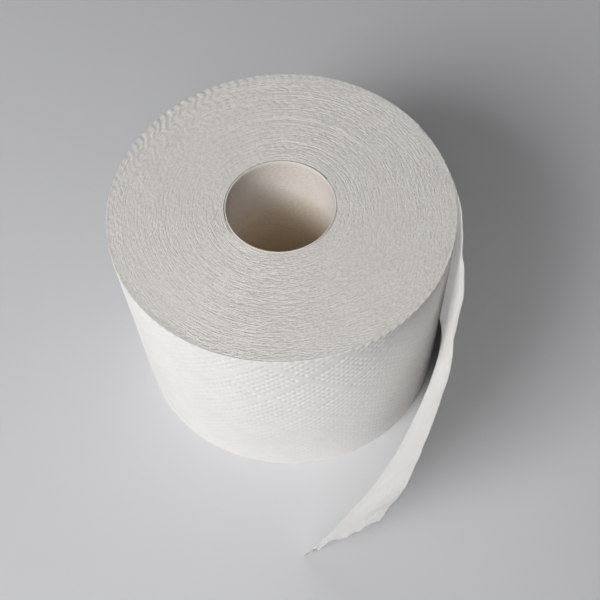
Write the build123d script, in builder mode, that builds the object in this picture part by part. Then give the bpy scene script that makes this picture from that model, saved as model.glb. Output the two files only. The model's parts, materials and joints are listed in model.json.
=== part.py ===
# A roll of toilet paper standing on its end, with its free end peeled off and standing beside it.
# Millimetres, +Z up. The origin is on the axis of the core, on the surface that the roll stands on.
# Seen from above, the paper winds counter-clockwise into the roll, and the free end trails clockwise.
import os

from build123d import *

# Roll
web_width = 100.0  # width of the paper, which is the height of the standing roll
roll_diameter = 133.0
core_bore = 41.6
core_wall = 0.5
core_clearance = 0.15  # between the cardboard and the first turn
sheet_thickness = 0.45

# Turns that show on the two ends, as one spiral groove that runs between them
turns_above = 8
turns_below = 3  # the end that the roll stands on is plainer
groove_width = 0.45
groove_depth = 0.9
paper_inside_groove = 3.4  # paper between the core and the groove's inner end
paper_outside_groove = 2.2  # paper between the groove's outer end and the roll's side
free_end_angle = 8.0  # where the outermost turn stops being part of the roll

# Free end. It starts inside the outermost turn. Its foot on the floor and its head above it each stand
# furthest off the roll's side at the torn end, and each station is an angle about the roll's axis with a
# share of that distance.
root_angle = 26.0
root_depth = 1.5
foot_standoff = 40.2
head_standoff = 59.1
foot_run = [
    (14, 0.022), (-2, 0.104), (-20, 0.09), (-35, 0.102),
    (-53, 0.224), (-69, 0.458), (-81, 0.706), (-90.8, 1),
]
head_run = [
    (4, 0.008), (-9, 0.036), (-25, 0.095), (-43, 0.244),
    (-56, 0.457), (-66.5, 0.677), (-74, 0.887), (-78.7, 1),
]
head_drop = 4.6  # how far the leaning sheet's last corner lies below the roll's top

# Perforation that the sheet was torn along: a small tuft stands where each tie was
tie_pitch = 3.4
tie_width = 1.5
tie_length = 1.1

roll_radius = roll_diameter / 2
bore_radius = core_bore / 2
core_radius = bore_radius + core_wall
wound_radius = core_radius + core_clearance
foot_stations = [(angle, share * foot_standoff) for angle, share in foot_run]
head_stations = [(angle, share * head_standoff) for angle, share in head_run]

os.makedirs("parts", exist_ok=True)


# A point in plan at an angle about the roll's axis, at a distance outside the roll's side
def beside_roll(angle, distance, height=0.0):
    return Vector(roll_radius + distance, 0, height).rotate(Axis.Z, angle)


# Points along one face of the free end in plan, half a thickness to one side of its middle
def face_points(stations, side):
    offset = side * sheet_thickness / 2
    whole_run = [(root_angle, -root_depth)] + stations
    return [beside_roll(angle, distance + offset) for angle, distance in whole_run]


# Core: a plain cardboard tube as long as the paper is wide
with BuildPart() as core:
    with BuildSketch():
        Circle(core_radius)
        Circle(bore_radius, mode=Mode.SUBTRACT)
    extrude(amount=web_width)

# Free end: a sheet ruled between its foot and its head, which leans further out as it goes
with BuildPart() as free_end:
    for height, stations in ((0, foot_stations), (web_width, head_stations)):
        with BuildSketch(Plane.XY.offset(height)):
            with BuildLine():
                inner_face = Spline(*face_points(stations, -1))
                outer_face = Spline(*face_points(stations, 1))
                Line(inner_face @ 0, outer_face @ 0)
                Line(inner_face @ 1, outer_face @ 1)
            make_face()
    loft(ruled=True)

    # A leaning sheet is lower, so its upper edge sinks along a shallow arc
    overshoot = 1.1
    reach = (roll_radius + head_standoff) * overshoot
    arc_start = (0, web_width)
    arc_end = (-reach, web_width - head_drop * overshoot**2)
    with BuildSketch(Plane.YZ):
        with BuildLine():
            TangentArc(arc_start, arc_end, tangent=(-1, 0))
            Polyline(arc_end, (-reach, web_width * overshoot), (0, web_width * overshoot), arc_start)
        make_face()
    extrude(amount=roll_diameter, both=True, mode=Mode.SUBTRACT)

    # The torn end: everything past a line of tufts is cut away, in the plane of the sheet's last stretch
    foot_end = beside_roll(*foot_stations[-1])
    head_end = beside_roll(*head_stations[-1], web_width)
    end_line = head_end - foot_end
    last_stretch = foot_end - beside_roll(*foot_stations[-2])
    torn_plane = Plane(origin=foot_end, x_dir=end_line, z_dir=end_line.cross(last_stretch))
    tie_count = int(end_line.length / tie_pitch) + 2
    half_tie = tie_width / 2
    tear_line = [(-tie_pitch, -tie_length)]
    for tie in range(tie_count):
        middle = tie * tie_pitch
        tear_line += [(middle - half_tie, -tie_length), (middle, 0), (middle + half_tie, -tie_length)]
    last_tie = tie_count * tie_pitch
    past_end = tie_pitch + tie_length  # far enough beyond the tufts, and to both sides of the sheet
    tear_line += [(last_tie, -tie_length), (last_tie, past_end), (-tie_pitch, past_end)]
    with BuildSketch(torn_plane):
        with BuildLine():
            Polyline(*tear_line, close=True)
        make_face()
    extrude(amount=past_end, both=True, mode=Mode.SUBTRACT)

# Paper: all the turns as one solid, with the free end growing out of the outermost one
with BuildPart() as paper:
    # The side is two half circles about centres a little apart, so it steps in by one sheet
    # where the free end has left it
    outward = Vector(1, 0).rotate(Axis.Z, free_end_angle)
    side_start = outward * roll_radius
    side_end = outward * (roll_radius - sheet_thickness)
    with BuildSketch():
        with BuildLine():
            half_sheet = sheet_thickness / 2
            CenterArc((0, 0), roll_radius, free_end_angle, 180)
            CenterArc(outward * -half_sheet, roll_radius - half_sheet, free_end_angle + 180, 180)
            Line(side_end, side_start)
        make_face()
        Circle(wound_radius, mode=Mode.SUBTRACT)
    extrude(amount=web_width)

    # Each groove is a spiral of half circles. A half turn inwards is smaller by half a pitch,
    # and its centre moves to the other side of the axis.
    groove_start = roll_radius - paper_outside_groove
    groove_end = wound_radius + paper_inside_groove
    across = outward * (groove_width / 2)
    for turns, end_face, inwards in ((turns_above, web_width, -1), (turns_below, 0, 1)):
        pitch = (groove_start - groove_end) / turns
        with BuildSketch(Plane.XY.offset(end_face)):
            with BuildLine():
                for half_turn in range(2 * turns):
                    side = 1 if half_turn % 2 == 0 else -1
                    centre = outward * (side * pitch / 4)
                    radius = groove_start - pitch / 4 - half_turn * pitch / 2
                    start_angle = free_end_angle + 180 * half_turn
                    CenterArc(centre, radius - groove_width / 2, start_angle, 180)
                    CenterArc(centre, radius + groove_width / 2, start_angle, 180)
                Line(outward * groove_start - across, outward * groove_start + across)
                Line(outward * groove_end - across, outward * groove_end + across)
            make_face()
        extrude(amount=inwards * groove_depth, mode=Mode.SUBTRACT)

    add(free_end.part)

core.part.label = "core"
export_step(core.part, "parts/core.step")
paper.part.label = "paper"
export_step(paper.part, "parts/paper.step")
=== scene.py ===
# A roll of toilet paper on its end with its free end standing beside it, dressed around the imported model.
# Metres, in the CAD frame. Seen from above, the paper winds counter-clockwise into the roll.
import json
from math import ceil, cos, pi, radians, sin, tau

import bpy
import numpy as np
from mathutils import Matrix, Vector


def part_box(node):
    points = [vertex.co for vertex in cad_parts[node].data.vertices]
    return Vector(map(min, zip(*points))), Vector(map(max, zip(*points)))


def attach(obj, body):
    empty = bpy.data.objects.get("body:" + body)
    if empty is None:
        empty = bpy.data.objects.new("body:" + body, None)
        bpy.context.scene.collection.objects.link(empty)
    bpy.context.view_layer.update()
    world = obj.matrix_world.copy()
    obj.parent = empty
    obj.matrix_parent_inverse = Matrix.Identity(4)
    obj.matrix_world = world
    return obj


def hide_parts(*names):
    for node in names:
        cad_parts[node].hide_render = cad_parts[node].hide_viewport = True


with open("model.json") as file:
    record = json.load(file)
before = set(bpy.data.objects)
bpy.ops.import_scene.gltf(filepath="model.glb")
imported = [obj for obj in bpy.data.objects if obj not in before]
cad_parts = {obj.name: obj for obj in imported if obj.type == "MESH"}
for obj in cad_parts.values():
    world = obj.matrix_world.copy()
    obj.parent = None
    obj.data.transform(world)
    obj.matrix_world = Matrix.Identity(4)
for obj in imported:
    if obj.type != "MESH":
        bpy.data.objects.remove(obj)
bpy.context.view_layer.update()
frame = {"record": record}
mm = 0.001

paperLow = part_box("paper")[0]
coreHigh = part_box("core")[1]
mounts = {mount["name"]: mount for mount in frame["record"]["mounts"]}
roll = {
    "radius": -paperLow.x,
    "height": coreHigh.z,
    "coreOutside": coreHigh.x,
    "coreInside": mounts["core_bore"]["dims"]["r_mm"] * mm,
    "coreGap": 0.15 * mm,  # between the core and the innermost turn
    "seam": radians(30),  # azimuth where the free end's piece meets the roll's
    "turns": 89,  # how often the web goes round
    "sheet": 0.40 * mm,  # thickness
}
roll["pitch"] = (roll["radius"] - (roll["coreOutside"] + roll["coreGap"])) / roll["turns"]


# Smooth and random curves
randomNumbers = 4096  # how many a table holds before it repeats


def eased(x):
    # from 0 to 1 with level ends
    return x * x * (3 - 2 * x)


def bell(x, middle, reach):
    return np.exp(-(((x - middle) / reach) ** 2))


def hermite(x, knots, values):
    # a smooth curve through a few points, with slopes taken from their neighbours
    knots = np.array(knots, float)
    values = np.array(values, float)
    slopes = np.gradient(values, knots)
    i = np.clip(np.searchsorted(knots, x, side="right") - 1, 0, len(knots) - 2)
    span = knots[i + 1] - knots[i]
    t = (x - knots[i]) / span
    start = (1 + 2 * t) * (1 - t) ** 2 * values[i] + t * (1 - t) ** 2 * span * slopes[i]
    end = t**2 * (3 - 2 * t) * values[i + 1] - t**2 * (1 - t) * span * slopes[i + 1]
    return start + end


def drift(x, seed):
    # a smooth random line between -1 and 1 that turns about once a unit
    table = np.random.default_rng(seed).uniform(-1, 1, randomNumbers)
    i = np.floor(x).astype(int)
    f = eased(x - i)
    return table[i % randomNumbers] * (1 - f) + table[(i + 1) % randomNumbers] * f


def cloud(x, y, seed):
    # the same over a plane, where one step along x or y jumps ahead in the table
    table = np.random.default_rng(seed).uniform(-1, 1, randomNumbers)
    jumpX = 71
    jumpY = 913
    i = np.floor(x).astype(int)
    j = np.floor(y).astype(int)
    f = eased(x - i)
    g = eased(y - j)

    def corner(right, above):
        return table[((i + right) * jumpX + (j + above) * jumpY) % randomNumbers]

    low = corner(0, 0) * (1 - f) + corner(1, 0) * f
    high = corner(0, 1) * (1 - f) + corner(1, 1) * f
    return low * (1 - g) + high * g


# Emboss: small pressed dots on a diagonal lattice, left out along plain channels that form diamonds
emboss = {
    "pitchAlong": 3.68 * mm,
    "pitchUp": 3.585 * mm,
    "dotsPerDiamond": 8,
    "dotRadius": 0.72 * mm,
    "dotDepth": 0.34 * mm,
    "dotVaries": 0.35,  # share by which a dot is deeper or shallower than its neighbours
    "dotVariesStep": 0.9,
    "pillow": 0.10 * mm,  # how far the middle of a diamond stands out
    "crinkle": 0.04 * mm,
    "crinkleEvery": 2.2 * mm,
    "crossingAzimuth": radians(273.6),
    "crossingHeight": 84.5 * mm,
    "leastPressed": 0.45,  # share of the depth that the dots have near the foot
    "leastBelow": 15 * mm,
    "pressedOver": 55 * mm,  # height over which they get deeper
    "mostPressed": radians(262),  # azimuth where they get deepest
    "pressedVaries": 0.3,
    "footPull": 0.06 * mm,  # how far the lower edge is drawn in
    "edgeReach": 1.3 * mm,  # how far up and down the web what happens to an edge is felt
}

# Crimp: what the dots do to the web's cut edge, which is drawn in and down where a dot lies next to it.
# Depth is how far inside the roll's side a turn lies.
crimp = {
    "rimPull": 0.36 * mm,  # at the outermost turns
    "rimDip": 0.28 * mm,
    "outerDip": 0.55 * mm,  # of the outermost turn of all
    "innerPull": 0.08 * mm,
    "innerDip": 0.05 * mm,
    "opening": 0.3,  # share of the pull that opens and closes the gaps
    "reach": 8 * mm,  # depth over which it falls off
    "seamFade": radians(8),  # the crimp ends over this on both sides of the seam
    "least": 0.22,  # its strength away from the places below
    # where it is strong: azimuth, reach to both sides, and what that adds
    "strong": [(radians(122), radians(36), 0.78), (radians(305), radians(45), 0.60)],
    # where the turns lie in step, and how their waves shift there: depth in millimetres, share of a wave
    "inStep": radians(111),
    "shift": [
        (0, 0), (2.2, 0.17), (6.3, -0.47), (9.8, 0.09), (12, -0.33),
        (17, 0.2), (23, -0.4), (31, 0.2), (46, 0),
    ],
    "ragged": 0.5,  # share of a wave by which deep turns stray from that
    "raggedDepth": 12 * mm,  # depth from which they stray fully
    "raggedPerRadian": 14,
    "raggedEvery": 2.5 * mm,
}


def webLength(turn):
    # length of web from the seam to a place this many turns further in
    return tau * (roll["radius"] * turn - roll["pitch"] * turn**2 / 2) + roll["seam"] * roll["radius"]


def crimpWave(angle, depth):
    # from 0 to 1 along one turn's edge: the wave keeps its length, so fewer fit on a turn further in
    c = crimp
    start = (c["inStep"] - emboss["crossingAzimuth"]) * roll["radius"] / emboss["pitchAlong"]
    aside = (angle - c["inStep"]) * (roll["radius"] - depth) / emboss["pitchAlong"]
    depths, shifts = np.array(c["shift"]).T
    phase = start + aside + hermite(np.clip(depth / mm, depths[0], depths[-1]), depths, shifts)
    ragged = c["ragged"] * np.clip(depth / c["raggedDepth"], 0, 1)
    phase += ragged * cloud(angle * c["raggedPerRadian"], depth / c["raggedEvery"], seed=25)
    return (1 + np.cos(tau * phase)) / 2


def crimpSize(angle, depth, rim, inner):
    # how strong it is: most at the back left and the front right, and nothing where the turns are joined up
    near = np.exp(-depth / crimp["reach"])
    toSeam = np.minimum(angle - roll["seam"], roll["seam"] + tau - angle)
    fade = np.clip(toSeam / crimp["seamFade"], 0, 1)
    strength = crimp["least"]
    for azimuth, reach, gain in crimp["strong"]:
        strength = strength + gain * bell(angle, azimuth, reach)
    return fade * (inner + (rim * strength - inner) * near)


def pressed(along, up):
    # how deep the dots are: deepest near the upper edge at the front, and shallow near the foot
    e = emboss
    higher = eased(np.clip((up - e["leastBelow"]) / e["pressedOver"], 0, 1))
    turned = np.cos(along / roll["radius"] - e["mostPressed"])
    most = 1 - e["pressedVaries"] + e["pressedVaries"] * turned
    return e["leastPressed"] + (1 - e["leastPressed"]) * higher * most


def relief(along, up):
    # how far the embossed face lies outside the even one
    e = emboss
    n = e["dotsPerDiamond"]
    aside = (along - e["crossingAzimuth"] * roll["radius"]) / e["pitchAlong"]
    above = (up - e["crossingHeight"]) / e["pitchUp"]
    rising = aside + above
    falling = aside - above
    dotRising = np.rint(rising)
    dotFalling = np.rint(falling)
    fromDotAlong = (aside - (dotRising + dotFalling) / 2) * e["pitchAlong"]
    fromDotUp = (above - (dotRising - dotFalling) / 2) * e["pitchUp"]
    shown = (dotRising % n != 0) & (dotFalling % n != 0)
    dots = bell(np.hypot(fromDotAlong, fromDotUp), 0, e["dotRadius"]) * shown
    crown = np.abs(np.sin(pi * rising / n) * np.sin(pi * falling / n))
    varied = cloud(dotRising * e["dotVariesStep"], dotFalling * e["dotVariesStep"], seed=12)
    strength = pressed(along, up) * (1 + e["dotVaries"] * varied)
    face = -e["dotDepth"] * strength * dots - e["pillow"] * (1 - crown)
    face += e["crinkle"] * cloud(along / e["crinkleEvery"], up / e["crinkleEvery"], seed=11)
    angle = along / roll["radius"]
    rim = crimpSize(angle, 0, crimp["rimPull"], 0) * np.exp((up - roll["height"]) / e["edgeReach"])
    foot = e["footPull"] * np.exp(-up / e["edgeReach"])
    return face - crimpWave(angle, 0) * (rim + foot)


def embossLevels(perDot, margin):
    # heights that fall on the rows of dots, kept clear of both edges
    cell = emboss["pitchUp"] / perDot
    levels = np.arange(ceil(roll["height"] / cell)) * cell + emboss["crossingHeight"] % cell
    return levels[(levels > margin) & (levels < roll["height"] - margin)]


# Grids that are wrapped into closed pieces
weldDistance = 0.002 * mm


def newGrid(name, columns, rows):
    # a flat grid to be wrapped: the piece, and each vertex's column and row
    bpy.ops.object.select_all(action="DESELECT")
    bpy.ops.mesh.primitive_grid_add(x_subdivisions=columns, y_subdivisions=rows, size=1)
    piece = bpy.context.object
    piece.name = name
    piece.data.name = name
    column, row = np.meshgrid(np.arange(columns + 1), np.arange(rows + 1))
    return piece, column, row


def setPlaces(piece, places, along, up, turn):
    # moves the grid's vertices, and keeps for the materials where each one lies on the flat web
    # and in which turn, where a millimetre stands for a turn
    piece.data.vertices.foreach_set("co", np.stack(places, axis=-1).ravel())
    web = piece.data.attributes.new("web", "FLOAT_VECTOR", "POINT")
    web.data.foreach_set("vector", np.stack([along, up, turn * mm], axis=-1).ravel())
    piece.data.update()


def closeUp(piece, smoothAngle):
    # merges seams, fills what stays open, turns all faces out
    bpy.ops.object.mode_set(mode="EDIT")
    bpy.ops.mesh.select_all(action="SELECT")
    bpy.ops.mesh.remove_doubles(threshold=weldDistance)
    bpy.ops.mesh.select_all(action="DESELECT")
    bpy.ops.mesh.select_non_manifold(extend=False, use_wire=False, use_multi_face=False, use_verts=False)
    bpy.ops.mesh.fill_holes(sides=0)
    bpy.ops.mesh.select_all(action="SELECT")
    bpy.ops.mesh.normals_make_consistent(inside=False)
    bpy.ops.mesh.quads_convert_to_tris(quad_method="BEAUTY", ngon_method="BEAUTY")
    bpy.ops.object.mode_set(mode="OBJECT")
    bpy.ops.object.shade_smooth_by_angle(angle=smoothAngle)


def wrapRoll(angle, radius):
    return radius * np.cos(angle), radius * np.sin(angle)


# Outermost turn, in three lengths of the web. Each is a closed sheet, embossed outside and plain inside
outerTurn = {
    # name, where it starts and ends, and the columns and rows that a dot gets
    "lengths": [
        ("outerTurnBack", roll["seam"], radians(190), 6),
        ("outerTurnFront", radians(190), radians(352), 8),
        ("outerTurnEnd", radians(352), roll["seam"] + tau, 6),
    ],
    # how far it hangs loose where the free end was pulled off it: azimuth in degrees, then millimetres
    "slack": [(262, 0), (285, 0.45), (305, 0.95), (345, 0.8), (374, 0.4), (384, 0.1), (390, 0)],
    # section of its edges: share of the thickness inwards, then height above the edge
    "rim": [(0.0, -0.15 * mm), (0.2, -0.02 * mm), (0.6, 0.0), (1.0, -0.15 * mm)],
    "foot": [(1.0, 0.4 * mm), (0.5, 0.0), (0.0, 0.3 * mm)],
    "levelMargin": 0.4 * mm,  # the rows of vertices on the dots end this far from both edges
    "smoothAngle": radians(50),
}


def slack(angle):
    # how far the outermost turn hangs loose
    azimuths, loose = np.array(outerTurn["slack"]).T
    turned = np.degrees(angle)
    return np.where(turned > azimuths[0], hermite(turned, azimuths, loose * mm), 0)


def outerLength(name, start, end, perDot):
    top = roll["height"]
    foot = outerTurn["foot"]
    face = [foot[-1]] + [(0.0, level) for level in embossLevels(perDot, outerTurn["levelMargin"])]
    rim = [(inward, top + above) for inward, above in outerTurn["rim"]]
    profile = np.array(face + rim + foot)
    columns = round((end - start) * roll["radius"] / emboss["pitchAlong"] * perDot)
    piece, column, row = newGrid(name, columns, len(profile) - 1)
    inward = profile[row, 0]
    up = profile[row, 1]
    angle = start + (end - start) * column / columns
    along = angle * roll["radius"]
    radius = roll["radius"] - roll["pitch"] * (angle - roll["seam"]) / tau + slack(angle)
    radius += relief(along, up) - inward * roll["sheet"]
    x, y = wrapRoll(angle, radius)
    dip = crimpSize(angle, 0, crimp["outerDip"], 0) * crimpWave(angle, 0)
    lowered = up - dip * np.exp((up - top) / emboss["edgeReach"])
    setPlaces(piece, (x, y, lowered), along, up, 0 * up)
    closeUp(piece, outerTurn["smoothAngle"])
    return piece


outerParts = [outerLength(*length) for length in outerTurn["lengths"]]
print("outermost turn made")

# The ends of the turns inside it: each turn's cut edge is a crest, and each gap between turns a valley
wound = {
    "columnsOutside": 1080,
    "columnsInside": 720,
    "turnsOutside": 40,
    "turnsBelow": 60,  # the end that the roll stands on shows fewer, wider turns
    "smoothAngle": radians(35),
    "sway": 0.10 * mm,  # how far a turn strays from its circle
    "swayEvery": 31 * mm,
    "looseTurns": 4,  # how many hang loose with the outermost one
    "tucked": 0.25 * mm,  # how far the first valley reaches under the turn outside it
    "gapDepth": 0.30 * mm,
    "gapVaries": 0.5,
    "gapVariesEvery": 3.1 * mm,
    "gapLeast": 0.1,  # share of its depth that a gap keeps where the crimp closes it, and at the roll's side
    "gapMost": 2,  # and where the crimp opens it
    "shallowDepth": 0.9 * mm,  # gaps stay shallow as far in as this, and then get deeper
    "shallowFade": 1.8 * mm,
    "gapShare": 0.45,  # share of the depth that gaps have anywhere, and what is added where they are deepest
    "gapDeepest": radians(225),
    "gapDeepestReach": radians(38),
    "lift": 0.10 * mm,  # how far a turn lies below the rim
    "liftEvery": 150 * mm,
    "rough": 0.14 * mm,  # and how far its edge strays from that
    "roughEvery": 1.7 * mm,
    "roughVaries": 0.7,
    "roughest": radians(290),
    # painted shade: the cut edges are painted darker in the crimp's dips, as if shaded there
    "dipShadeInside": 0.2,  # how strongly dips far from the rim are shaded
}


def gapDepths(angle, depth, along, widened):
    # how deep the valleys are
    w = wound
    least = w["gapLeast"]
    gaps = w["gapDepth"] * widened * (1 + w["gapVaries"] * drift(along / w["gapVariesEvery"], seed=24))
    gaps *= least + (1 - least) * np.clip((depth - w["shallowDepth"]) / w["shallowFade"], 0, 1)
    return gaps * (w["gapShare"] + w["gapShare"] * bell(angle, w["gapDeepest"], w["gapDeepestReach"]))


def crestDepths(angle, along):
    # how far the cut edges lie below the rim, before the crimp
    w = wound
    rough = w["rough"] * (1 + w["roughVaries"] * np.cos(angle - w["roughest"]))
    slow = w["lift"] * np.abs(drift(along / w["liftEvery"], seed=22))
    return slow + rough * np.abs(drift(along / w["roughEvery"], seed=23))


def woundTurns(name, outside, turns, pitch, columns, side):
    # side is 1 for the upper end and -1 for the lower one
    w = wound
    rings = 2 * turns
    piece, column, row = newGrid(name, columns, rings + 3)
    ring = np.clip(row - 1, 0, rings)
    crest = ring % 2 == 1
    angle = roll["seam"] + tau * column / columns
    radius = outside - pitch * (ring / 2 + column / columns)
    depth = roll["radius"] - radius
    turn = depth / roll["pitch"] - 0.5
    along = webLength(turn)

    # a crest has its own wave of the crimp, and a valley the mean of its two neighbours
    innerWave = crimpWave(angle, depth + pitch / 2)
    outerWave = crimpWave(angle, depth - pitch / 2)
    wave = np.where(crest, crimpWave(angle, depth), (innerWave + outerWave) / 2)
    pull = crimpSize(angle, depth, crimp["rimPull"], crimp["innerPull"])
    dip = crimpSize(angle, depth, crimp["rimDip"], crimp["innerDip"]) * wave
    opened = 1 + crimp["opening"] * pull * (innerWave - outerWave) / pitch
    gaps = gapDepths(angle, depth, along, np.clip(opened, w["gapLeast"], w["gapMost"]))
    below = np.where(crest, crestDepths(angle, along), gaps) + dip
    radius = np.where(row <= 1, radius + w["tucked"], radius - pull * wave)
    radius = radius + w["sway"] * drift(along / w["swayEvery"], seed=21)
    radius = radius + slack(angle) * np.clip(1 - turn / w["looseTurns"], 0, 1)

    # three rows at half the roll's height close the piece: the last but one inside, the others outside
    inner = row == rings + 2
    outer = (row == 0) | (row == rings + 3)
    radius = np.where(inner, outside - pitch * turns, radius)
    radius = np.where(outer, outside - pitch, radius)
    end = roll["height"] if side > 0 else 0.0
    up = np.where(inner | outer, roll["height"] / 2, end - side * below)
    x, y = wrapRoll(angle, radius)
    setPlaces(piece, (x, y, up), along, up, turn)
    # painted shade: how much darker each cut edge is painted in the crimp's dips, most near the rim and where
    # the crimp is strong
    dipShade = piece.data.attributes.new("dipShade", "FLOAT", "POINT")
    dipShade.data.foreach_set("value", (wave * crimpSize(angle, depth, 1, w["dipShadeInside"])).ravel())
    closeUp(piece, w["smoothAngle"])
    return piece


w = wound
secondTurn = roll["radius"] - roll["pitch"]
middleTurn = secondTurn - w["turnsOutside"] * roll["pitch"]
insideTurns = roll["turns"] - 2 - w["turnsOutside"]
lowerPitch = roll["pitch"] * (roll["turns"] - 2) / w["turnsBelow"]
woundParts = [
    woundTurns("woundTurnsUpperOuter", secondTurn, w["turnsOutside"], roll["pitch"], w["columnsOutside"], 1),
    woundTurns("woundTurnsUpperInner", middleTurn, insideTurns, roll["pitch"], w["columnsInside"], 1),
    woundTurns("woundTurnsLower", secondTurn, w["turnsBelow"], lowerPitch, w["columnsInside"], -1),
]
print("wound turns made")

# Free end: a loose sheet whose foot stands on the floor. Each station is an azimuth in degrees and how far
# the sheet's outside stands off the roll, in millimetres. Its head lies one width of the web from its foot.
freeEnd = {
    "foot": [
        (30, 0), (23, 0.1), (14, 1.0), (-2, 4.3), (-20, 3.7),
        (-35, 4.2), (-53, 9.1), (-69, 18.5), (-81, 28.5), (-90.8, 40.2),
    ],
    "head": [
        (30, 0), (16, 0.1), (4, 0.6), (-9, 2.0), (-25, 5.5), (-35, 10.2), (-43, 14.7), (-50, 20.2),
        (-56, 27.0), (-62, 34.0), (-66.5, 40.0), (-70.3, 45.6), (-73, 50.1), (-77, 55.0), (-79.4, 58.4),
    ],
    "fineSteps": 2000,  # in which the length of each edge is measured
    "length": 169.2 * mm,
    "perDot": 5,
    "smoothAngle": radians(60),
    "edgeLevels": [0, 0.06 * mm, 0.25 * mm],
    "levelMargin": 0.5 * mm,
    "edgeRound": 0.4 * mm,
    "edgeThin": 0.3,  # share of the thickness that is left at its edges
    "edgeThinReach": 2.5 * mm,
    # what hangs free waves a little, most along its head, and keeps only a share of the emboss
    "heldLength": 25 * mm,  # the web next to the roll that doesn't wave
    "freedOver": 30 * mm,
    "embossLeft": 0.6,
    "longWave": 0.45 * mm,
    "longWaveEvery": 9 * mm,
    "shortWave": 0.20 * mm,
    "shortWaveEvery": 4 * mm,
    "headDips": 0.4 * mm,
    "headDipsEvery": 3.5 * mm,
    "headDipsPower": 12,  # the higher, the closer to the upper edge they stay
    "footHeld": 3 * mm,  # height over which the waves and creases end above the floor
    # the torn end from foot to head: share of the height, then millimetres out and millimetres torn away
    "torn": [
        (0, 0, -0.04), (0.10, 0, 0), (0.17, -0.5, 1.2), (0.22, 0.3, 0), (0.31, 0.1, 0.1), (0.42, -0.5, 0.3),
        (0.52, 0.2, 0.1), (0.60, 0.9, 0), (0.70, 0.5, 0.2), (0.78, 0.9, 0), (0.86, 0.4, 0.2), (1, 0.9, 1.0),
    ],
    "tornReach": 22 * mm,
    "crumple": 0.16 * mm,
    "crumpleAlong": 2.6 * mm,
    "crumpleUp": 2.9 * mm,
    # what the perforation's ties left of its edge
    "tiePitch": 3.4 * mm,
    "tieLength": 0.25 * mm,
    "tieVaries": 0.3 * mm,
    "tieVariesEvery": 1.3 * mm,
    "tieReach": 3 * mm,
}


def runPlaces(stations, gone):
    # places in plan along one edge of the sheet, at lengths of web from the seam
    azimuths, standoffs = np.array(stations).T
    fine = np.linspace(-azimuths[0], -azimuths[-1], freeEnd["fineSteps"])
    standoff = hermite(fine, -azimuths, standoffs * mm)
    x, y = wrapRoll(np.radians(-fine), roll["radius"] + standoff)
    passed = np.concatenate([[0], np.cumsum(np.hypot(np.diff(x), np.diff(y)))])
    return np.interp(gone, passed, x), np.interp(gone, passed, y)


def evenSheet(gone, up):
    # the sheet before its emboss and waves, ruled from foot to head, and which way is lengthwise and outward
    footX, footY = runPlaces(freeEnd["foot"], gone)
    headX, headY = runPlaces(freeEnd["head"], gone)
    headZ = np.sqrt(roll["height"] ** 2 - (headX - footX) ** 2 - (headY - footY) ** 2)
    share = up / roll["height"]
    even = np.stack([footX + (headX - footX) * share, footY + (headY - footY) * share, headZ * share])
    lengthwise = np.gradient(even, axis=2)
    lengthwise /= np.linalg.norm(lengthwise, axis=0)
    outward = np.cross(np.gradient(even, axis=1), lengthwise, axis=0)
    outward /= np.linalg.norm(outward, axis=0)
    return even, lengthwise, outward


def sheetPush(along, up, loose, toEnd):
    # how far the sheet lies outside its even surface: emboss, waves, and creases near the torn end
    f = freeEnd
    share = up / roll["height"]
    waves = f["longWave"] * drift(along / f["longWaveEvery"], seed=31)
    waves += f["shortWave"] * drift(along / f["shortWaveEvery"], seed=32)
    push = relief(along, up) * (1 - loose * (1 - f["embossLeft"])) + loose * share**2 * waves
    near = np.clip(1 - toEnd / f["tornReach"], 0, 1)
    torn = np.array(f["torn"])
    push += near**2 * mm * hermite(share, torn[:, 0], torn[:, 1])
    push += near * f["crumple"] * cloud(along / f["crumpleAlong"], up / f["crumpleUp"], seed=35)
    return push * np.clip(up / f["footHeld"], 0, 1)


def sheetTorn(up, toEnd):
    # how much of the web's length is torn away
    f = freeEnd
    near = np.clip(1 - toEnd / f["tornReach"], 0, 1)
    torn = np.array(f["torn"])
    uneven = near**2 * mm * hermite(up / roll["height"], torn[:, 0], torn[:, 2])
    ties = f["tieLength"] * np.abs(np.sin(pi * up / f["tiePitch"]))
    ties += f["tieVaries"] * drift(up / f["tieVariesEvery"], seed=33)
    return uneven + ties * np.clip(1 - toEnd / f["tieReach"], 0, 1)


def sheetFullness(up, toEnd):
    # share of the thickness, which falls off to thin rounded edges and to the torn end
    f = freeEnd
    toEdge = np.minimum(np.minimum(up, roll["height"] - up), toEnd / 2)
    full = np.sqrt(np.clip(toEdge / f["edgeRound"], 0, 1))
    return full * (f["edgeThin"] + (1 - f["edgeThin"]) * np.clip(toEdge / f["edgeThinReach"], 0, 1))


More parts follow.
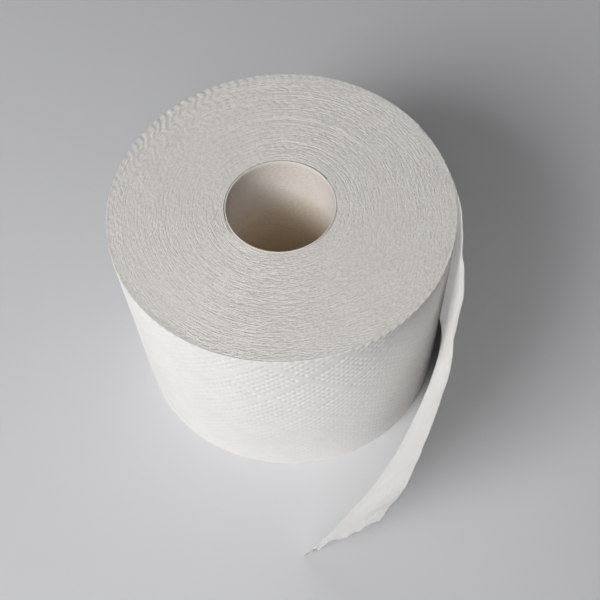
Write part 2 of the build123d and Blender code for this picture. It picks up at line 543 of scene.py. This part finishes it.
def looseSheet(name):
    f = freeEnd
    columns = round(f["length"] / emboss["pitchAlong"] * f["perDot"])
    edge = np.array(f["edgeLevels"])
    levels = np.concatenate([edge, embossLevels(f["perDot"], f["levelMargin"]), roll["height"] - edge[::-1]])
    piece = newGrid(name, columns, 2 * len(levels) - 1)[0]
    gone, up = np.meshgrid(f["length"] * np.arange(columns + 1) / columns, levels)
    toEnd = f["length"] - gone
    along = roll["seam"] * roll["radius"] - gone
    loose = np.clip((gone - f["heldLength"]) / f["freedOver"], 0, 1)
    even, lengthwise, outward = evenSheet(gone, up)
    middle = even - lengthwise * sheetTorn(up, toEnd)
    dips = f["headDips"] * loose * np.abs(drift(along / f["headDipsEvery"], seed=34))
    middle[2] -= dips * (up / roll["height"]) ** f["headDipsPower"]

    # both faces, which meet at the edges
    push = sheetPush(along, up, loose, toEnd)
    full = sheetFullness(up, toEnd)
    outside = middle + outward * (push - roll["sheet"] * (1 - full) / 2)
    inside = middle + outward * (push - roll["sheet"] * (1 + full) / 2)
    places = np.concatenate([outside, inside[:, ::-1]], axis=1)
    places[2] = np.maximum(places[2], 0)
    flat = [np.concatenate([values, values[::-1]], axis=0) for values in (along, up)]
    setPlaces(piece, places, *flat, 0 * flat[0])
    closeUp(piece, f["smoothAngle"])
    return piece


sheet = looseSheet("freeEnd")
print("free end made")

# Core: a tube wound from strips of board, with a faint joint that climbs round inside it
coreTube = {
    "columns": 240,
    "levels": 50,
    "rimRound": 0.12 * mm,
    "uneven": 0.06 * mm,
    "unevenWaves": [(2, -0.9, 1.0), (3, 0.4, 0.5)],  # waves in one turn, where they start, and their share
    "jointClimb": 74 * mm,  # height that the joint gains in one turn
    "smoothAngle": radians(50),
}


def boardTube(name):
    c = coreTube
    top = roll["height"]
    r = c["rimRound"]
    wall = roll["coreOutside"] - roll["coreInside"]
    insideRun = [(0.0, level) for level in np.linspace(r, top - r, c["levels"])]
    rimRun = [(r, top), (wall - r, top)]
    outsideRun = [(wall, top - r), (wall, r)]
    footRun = [(wall - r, 0.0), (r, 0.0), (0.0, r)]
    profile = np.array(insideRun + rimRun + outsideRun + footRun)
    piece, column, row = newGrid(name, c["columns"], len(profile) - 1)
    angle = tau * column / c["columns"]
    up = profile[row, 1]
    waves = sum(share * np.cos(count * angle + start) for count, start, share in c["unevenWaves"])
    uneven = c["uneven"] * waves / sum(share for count, start, share in c["unevenWaves"])
    radius = roll["coreInside"] + profile[row, 0] + uneven
    x, y = wrapRoll(angle, radius)
    setPlaces(piece, (x, y, up), angle * roll["coreInside"], up, 0 * up)
    closeUp(piece, c["smoothAngle"])
    return piece


core = boardTube("coreTube")
print("core made")

# Shader nodes
black = (0, 0, 0, 1)
noiseRoughness = 0.6
noiseMiddle = (0.35, 0.65)  # most of what a noise gives lies between these


def newMaterial(name):
    material = bpy.data.materials.new(name)
    material.use_nodes = True
    return material, material.node_tree, material.node_tree.nodes["Principled BSDF"]


def addNode(tree, kind, place, **values):
    node = tree.nodes.new(kind)
    node.location = place
    for name, value in values.items():
        node.inputs[name].default_value = value
    return node


def feed(tree, value, socket):
    # links what comes out of another node, or sets a plain value
    if hasattr(value, "links"):
        tree.links.new(value, socket)
    else:
        socket.default_value = value


def addAttribute(tree, place, name):
    node = addNode(tree, "ShaderNodeAttribute", place)
    node.attribute_name = name
    return node


def addNoise(tree, place, source, scale, detail):
    # soft noise on coordinates that are first scaled, so that it can be stretched
    beside = (place[0] + 200, place[1])
    spread = addNode(tree, "ShaderNodeVectorMath", place)
    spread.operation = "MULTIPLY"
    spread.inputs[1].default_value = scale
    noise = addNode(tree, "ShaderNodeTexNoise", beside, Scale=1.0, Detail=detail, Roughness=noiseRoughness)
    tree.links.new(source, spread.inputs[0])
    tree.links.new(spread.outputs[0], noise.inputs["Vector"])
    return noise.outputs["Fac"]


def addRange(tree, place, source, start, end, low=0.0, high=1.0):
    # turns what lies from start to end into a value from low to high
    spread = addNode(tree, "ShaderNodeMapRange", place)
    spread.inputs["From Min"].default_value = start
    spread.inputs["From Max"].default_value = end
    feed(tree, source, spread.inputs["Value"])
    feed(tree, low, spread.inputs["To Min"])
    feed(tree, high, spread.inputs["To Max"])
    return spread.outputs["Result"]


def addMath(tree, place, operation, first, second):
    node = addNode(tree, "ShaderNodeMath", place)
    node.operation = operation
    feed(tree, first, node.inputs[0])
    feed(tree, second, node.inputs[1])
    return node.outputs["Value"]


def addTint(tree, place, source, dark):
    # a noise as a factor between dark and 1
    return addRange(tree, place, source, *noiseMiddle, dark, 1.0)


def mixColours(tree, place, factor, first, second):
    mix = tree.nodes.new("ShaderNodeMix")
    mix.data_type = "RGBA"
    mix.location = place
    feed(tree, factor, mix.inputs["Factor"])
    feed(tree, first, mix.inputs["A"])
    feed(tree, second, mix.inputs["B"])
    return mix.outputs["Result"]


def newGroup(name, inputs, outputs):
    group = bpy.data.node_groups.new(name, "ShaderNodeTree")
    for label, value in inputs.items():
        socket = group.interface.new_socket(label, in_out="INPUT", socket_type="NodeSocketFloat")
        socket.default_value = value
    for label in outputs:
        group.interface.new_socket(label, in_out="OUTPUT", socket_type="NodeSocketFloat")
    start = addNode(group, "NodeGroupInput", (-900, 0))
    end = addNode(group, "NodeGroupOutput", (900, 0))
    return group, start, end


def addGroup(tree, place, group):
    node = tree.nodes.new("ShaderNodeGroup")
    node.node_tree = group
    node.location = place
    return node


# Paper's fibre: each pattern's cells per metre, then its detail. Creping and streaks follow the web, and
# theirs are cells along it, up it and across its turns
paperLook = {
    "cloudy": ((90, 90, 90), 3),
    "specks": ((1000, 1000, 1000), 2),
    "fibres": ((2600, 2600, 2600), 3),
    "creping": ((2800, 300, 1000), 2),
    "streaks": ((330, 0, 1000), 1),
    "crepingShare": 0.8,  # of the relief, beside the fibres
    # the last amount is painted shade: how much darker the cut edges are painted in the crimp's dips
    "amounts": {"Cloud": 0.03, "Speck": 0.03, "Streak": 0.0, "DipShade": 0.05},
}


def makePaperFibre():
    # tint falls below 1 where the sheet is thin, specked or streaked, and where painted shade darkens the
    # crimp's dips; height holds creping and fibres
    group, start, end = newGroup("paperFibre", paperLook["amounts"], ["Tint", "Height"])
    place = addNode(group, "ShaderNodeTexCoord", (-900, 300)).outputs["Object"]
    flat = addAttribute(group, (-900, -300), "web").outputs["Vector"]
    dipShade = addAttribute(group, (-900, -600), "dipShade").outputs["Fac"]
    cloudy = addNoise(group, (-600, 500), place, *paperLook["cloudy"])
    specks = addNoise(group, (-600, 300), place, *paperLook["specks"])
    fibres = addNoise(group, (-600, 100), place, *paperLook["fibres"])
    creping = addNoise(group, (-600, -100), flat, *paperLook["creping"])
    streaks = addNoise(group, (-600, -300), flat, *paperLook["streaks"])
    thin = addMath(group, (0, 700), "SUBTRACT", 1.0, start.outputs["Cloud"])
    rough = addMath(group, (0, 500), "SUBTRACT", 1.0, start.outputs["Speck"])
    gap = addMath(group, (0, 300), "SUBTRACT", 1.0, start.outputs["Streak"])
    tint = addTint(group, (200, 700), cloudy, thin)
    tint = addMath(group, (400, 600), "MULTIPLY", tint, addTint(group, (200, 500), specks, rough))
    tint = addMath(group, (600, 500), "MULTIPLY", tint, addTint(group, (200, 300), streaks, gap))
    # painted shade in the crimp's dips
    shade = addMath(group, (200, -500), "MULTIPLY", dipShade, start.outputs["DipShade"])
    shade = addMath(group, (400, -500), "SUBTRACT", 1.0, shade)
    tint = addMath(group, (800, 500), "MULTIPLY", tint, shade)
    creases = addMath(group, (200, -100), "MULTIPLY", creping, paperLook["crepingShare"])
    height = addMath(group, (400, -100), "ADD", fibres, creases)
    group.links.new(tint, end.inputs["Tint"])
    group.links.new(height, end.inputs["Height"])
    return group


# Board's fibre, in the same way: flecks have cells round the tube and up it
boardLook = {
    "flecks": ((700, 1500, 1), 3),
    "cloudy": ((120, 120, 120), 2),
    "cloudTint": 0.96,
    "jointWidth": 0.0035,  # half of it, as a share of the joint's climb in one turn
    # how far below the upper edge two other colours start and are full: the cut edge's, and the painted shade
    # of the lower inside, browner and darker where light bounces deep in the tube
    "rimBand": (0.30 * mm, 0.05 * mm),
    "deepShadeBand": (14 * mm, 50 * mm),
    "amounts": {"Fleck": 0.14, "Joint": 0.10},
}


def makeBoardFibre():
    # tint holds flecks and the joint between two strips, height the same as relief
    # rim is the mask for the cut edge, and the other one for the painted shade of the lower inside
    b = boardLook
    group, start, end = newGroup("boardFibre", b["amounts"], ["Tint", "Height", "Rim", "DeepShade"])
    climb = coreTube["jointClimb"]
    place = addNode(group, "ShaderNodeTexCoord", (-900, 300)).outputs["Object"]
    flat = addAttribute(group, (-900, -300), "web").outputs["Vector"]
    flecks = addNoise(group, (-600, 300), flat, *b["flecks"])
    cloudy = addNoise(group, (-600, 100), place, *b["cloudy"])
    parts = addNode(group, "ShaderNodeSeparateXYZ", (-600, -300))
    group.links.new(flat, parts.inputs["Vector"])
    along = parts.outputs["X"]
    up = parts.outputs["Y"]

    # how far a place lies from the joint, in turns of it
    aside = addMath(group, (-400, -300), "MULTIPLY", along, -climb / (tau * roll["coreInside"]))
    aside = addMath(group, (-200, -300), "ADD", aside, up)
    aside = addMath(group, (0, -300), "DIVIDE", aside, climb)
    aside = addMath(group, (150, -300), "FRACT", aside, 0.0)
    aside = addMath(group, (300, -300), "SUBTRACT", aside, 0.5)
    aside = addMath(group, (450, -300), "ABSOLUTE", aside, 0.0)
    joint = addMath(group, (600, -300), "LESS_THAN", aside, b["jointWidth"])

    flecked = addMath(group, (0, 300), "SUBTRACT", 1.0, start.outputs["Fleck"])
    tint = addTint(group, (200, 300), flecks, flecked)
    tint = addMath(group, (400, 200), "MULTIPLY", tint, addTint(group, (200, 100), cloudy, b["cloudTint"]))
    dark = addMath(group, (700, -100), "MULTIPLY", joint, start.outputs["Joint"])
    tint = addMath(group, (800, 200), "SUBTRACT", tint, dark)
    rim = addRange(group, (0, -500), up, *(roll["height"] - depth for depth in b["rimBand"]))
    deepShade = addRange(group, (0, -800), up, *(roll["height"] - depth for depth in b["deepShadeBand"]))
    group.links.new(tint, end.inputs["Tint"])
    group.links.new(addMath(group, (800, 0), "SUBTRACT", flecks, joint), end.inputs["Height"])
    group.links.new(rim, end.inputs["Rim"])
    group.links.new(deepShade, end.inputs["DeepShade"])
    return group


paperFibre = makePaperFibre()
boardFibre = makeBoardFibre()

# Materials: the tissue's side, its cut edges and the thin loose sheet. Glow is how far light spreads in them
tissues = {
    "tissue": {
        "colour": (0.965, 0.95, 0.935, 1),
        "fibre": {"Cloud": 0.03, "Speck": 0.02, "Streak": 0.0},
        "glow": 0.4 * mm,
    },
    "tissueEdges": {
        "colour": (0.955, 0.925, 0.88, 1),
        "fibre": {"Cloud": 0.03, "Speck": 0.12, "Streak": 0.09},
        "glow": 0.25 * mm,
    },
    "tissueSheet": {
        "colour": (0.67, 0.663, 0.65, 1),
        "fibre": {"Cloud": 0.03, "Speck": 0.02, "Streak": 0.0},
        "glow": 5 * mm,
    },
}
tissueFinish = {"roughness": 0.95, "shine": 0.2, "bump": 0.06 * mm, "bumpStrength": 0.5}
cardboard = {
    "colour": (0.95, 0.895, 0.845, 1),
    # painted shade: browner and darker deep inside the tube, standing in for the light that bounces there
    "deepShadeColour": (0.99, 0.84, 0.64, 1),
    "rimColour": (0.86, 0.83, 0.78, 1),
    "roughness": 0.85,
    "shine": 0.25,
    "bump": 0.05 * mm,
    "bumpStrength": 0.5,
}


def setFinish(tree, shader, finish, colour, height):
    # matt, with its smallest relief as a bump
    strength = finish["bumpStrength"]
    bump = addNode(tree, "ShaderNodeBump", (-250, -300), Strength=strength, Distance=finish["bump"])
    tree.links.new(colour, shader.inputs["Base Color"])
    tree.links.new(height, bump.inputs["Height"])
    tree.links.new(bump.outputs["Normal"], shader.inputs["Normal"])
    shader.inputs["Roughness"].default_value = finish["roughness"]
    shader.inputs["Specular IOR Level"].default_value = finish["shine"]


def makeTissue(name):
    look = tissues[name]
    material, tree, shader = newMaterial(name)
    fibre = addGroup(tree, (-700, 0), paperFibre)
    for label, amount in look["fibre"].items():
        fibre.inputs[label].default_value = amount
    colour = mixColours(tree, (-400, 100), fibre.outputs["Tint"], black, look["colour"])
    setFinish(tree, shader, tissueFinish, colour, fibre.outputs["Height"])
    shader.subsurface_method = "BURLEY"
    shader.inputs["Subsurface Weight"].default_value = 1.0
    shader.inputs["Subsurface Radius"].default_value = (1, 1, 1)
    shader.inputs["Subsurface Scale"].default_value = look["glow"]
    return material


def makeCardboard():
    c = cardboard
    material, tree, shader = newMaterial("cardboard")
    fibre = addGroup(tree, (-1000, 0), boardFibre)
    # painted shade deep inside the tube
    colour = mixColours(tree, (-800, 300), fibre.outputs["DeepShade"], c["colour"], c["deepShadeColour"])
    colour = mixColours(tree, (-600, 100), fibre.outputs["Tint"], black, colour)
    colour = mixColours(tree, (-400, 100), fibre.outputs["Rim"], colour, c["rimColour"])
    setFinish(tree, shader, c, colour, fibre.outputs["Height"])
    return material


sideTissue = makeTissue("tissue")
cutTissue = makeTissue("tissueEdges")
thinTissue = makeTissue("tissueSheet")
board = makeCardboard()

dressing = [(piece, "paper", "tissue", sideTissue) for piece in outerParts]
dressing += [(piece, "paper", "tissue", cutTissue) for piece in woundParts]
dressing += [(sheet, "paper", "tissue", thinTissue), (core, "core", "cardboard", board)]
for piece, node, slot, material in dressing:
    piece.data.materials.clear()
    piece.data.materials.append(material)
    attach(piece, "root")
    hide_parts(node)
print("materials made")

# Floor, painted lighter on the left where the key lamp falls and darker on the right where the roll's shadow
# reaches, which far from the roll fades into a plain background for the camera
background = (0.40, 0.405, 0.415, 1)
floorLook = {
    "size": 8,
    # painted light and shade: the left colour is lit, the right one shaded
    "left": (0.785, 0.79, 0.805, 1),
    "right": (0.69, 0.695, 0.71, 1),
    "litToShaded": (-0.20, 0.22),  # where along X the one colour has turned into the other
    "fade": (0.4, 1.2),  # distances from the roll's axis
}


def makeFloorPaint():
    material, tree, shader = newMaterial("floorPaint")
    place = addNode(tree, "ShaderNodeTexCoord", (-1000, 0)).outputs["Object"]
    parts = addNode(tree, "ShaderNodeSeparateXYZ", (-800, 0))
    tree.links.new(place, parts.inputs["Vector"])
    # painted light and shade, from the lit left to the shaded right
    aside = addRange(tree, (-600, 0), parts.outputs["X"], *floorLook["litToShaded"])
    paint = mixColours(tree, (-400, 0), aside, floorLook["left"], floorLook["right"])
    tree.links.new(paint, shader.inputs["Base Color"])
    shader.inputs["Roughness"].default_value = 1.0
    shader.inputs["Specular IOR Level"].default_value = 0.0
    away = addNode(tree, "ShaderNodeVectorMath", (-800, -300))
    away.operation = "LENGTH"
    tree.links.new(place, away.inputs[0])
    fade = addRange(tree, (-600, -300), away.outputs["Value"], *floorLook["fade"])
    seen = addNode(tree, "ShaderNodeLightPath", (-600, -600)).outputs["Is Camera Ray"]
    fade = addMath(tree, (-400, -400), "MULTIPLY", fade, seen)
    plain = addNode(tree, "ShaderNodeEmission", (0, -300), Color=background)
    faded = addNode(tree, "ShaderNodeMixShader", (400, 0))
    tree.links.new(fade, faded.inputs["Fac"])
    tree.links.new(shader.outputs["BSDF"], faded.inputs[1])
    tree.links.new(plain.outputs["Emission"], faded.inputs[2])
    tree.links.new(faded.outputs["Shader"], tree.nodes["Material Output"].inputs["Surface"])
    return material


bpy.ops.object.select_all(action="DESELECT")
bpy.ops.mesh.primitive_plane_add(size=floorLook["size"])
floor = bpy.context.object
floor.name = "floor"
floor.data.materials.append(makeFloorPaint())
print("floor made")

# Lights: the world lights nothing, and is only the background that the camera sees
world = bpy.data.worlds.new("studio")
bpy.context.scene.world = world
world.use_nodes = True
sky = world.node_tree
sky.nodes["Background"].inputs["Color"].default_value = background
seen = addNode(sky, "ShaderNodeLightPath", (-300, 0)).outputs["Is Camera Ray"]
sky.links.new(seen, sky.nodes["Background"].inputs["Strength"])

lamps = {
    # azimuth and elevation in degrees, width and height in metres, power in watts
    "keyWindow": (223, 39, 0.6, 0.6, 12.7),
    "frontFill": (245, 48, 1.2, 1.2, 5.8),
    "overhead": (90, 85, 1.2, 1.2, 2.2),
    "rightWall": (8, 0.4, 0.8, 0.08, 9.4),  # low, so that it lights what stands and hardly the floor
}
lampDistance = 1.5
lampAim = (0, 0, 0.05)  # the roll's middle, which they face


def addLamp(name, azimuth, elevation, width, height, power):
    # a soft box that faces the roll from a compass direction of the CAD frame
    data = bpy.data.lights.new(name, "AREA")
    data.shape = "RECTANGLE"
    data.size = width
    data.size_y = height
    data.energy = power
    light = bpy.data.objects.new(name, data)
    bpy.context.scene.collection.objects.link(light)
    a = radians(azimuth)
    e = radians(elevation)
    away = Vector((cos(a) * cos(e), sin(a) * cos(e), sin(e)))
    light.location = away * lampDistance + Vector(lampAim)
    light.rotation_euler = away.to_track_quat("Z", "Y").to_euler()


for name, facts in lamps.items():
    addLamp(name, *facts)

# Camera: its angles are in radians, and its lens and sensor in millimetres
camera = {
    "place": (0, -0.21275, 0.39903),
    "lens": 57.887,
    "sensor": 36,
    "pan": -0.0255,
    "tilt": 1.0514,  # downwards
    "roll": -0.0544,
}
cameraData = bpy.data.cameras.new("camera")
cameraData.lens = camera["lens"]
cameraData.sensor_width = camera["sensor"]
cameraObject = bpy.data.objects.new("camera", cameraData)
bpy.context.scene.collection.objects.link(cameraObject)
turned = Matrix.Rotation(camera["pan"], 4, "Z") @ Matrix.Rotation(pi / 2 - camera["tilt"], 4, "X")
turned = turned @ Matrix.Rotation(camera["roll"], 4, "Z")
cameraObject.matrix_world = Matrix.Translation(camera["place"]) @ turned
bpy.context.scene.camera = cameraObject
bpy.context.scene.view_settings.view_transform = "Standard"
print("lights and camera set")
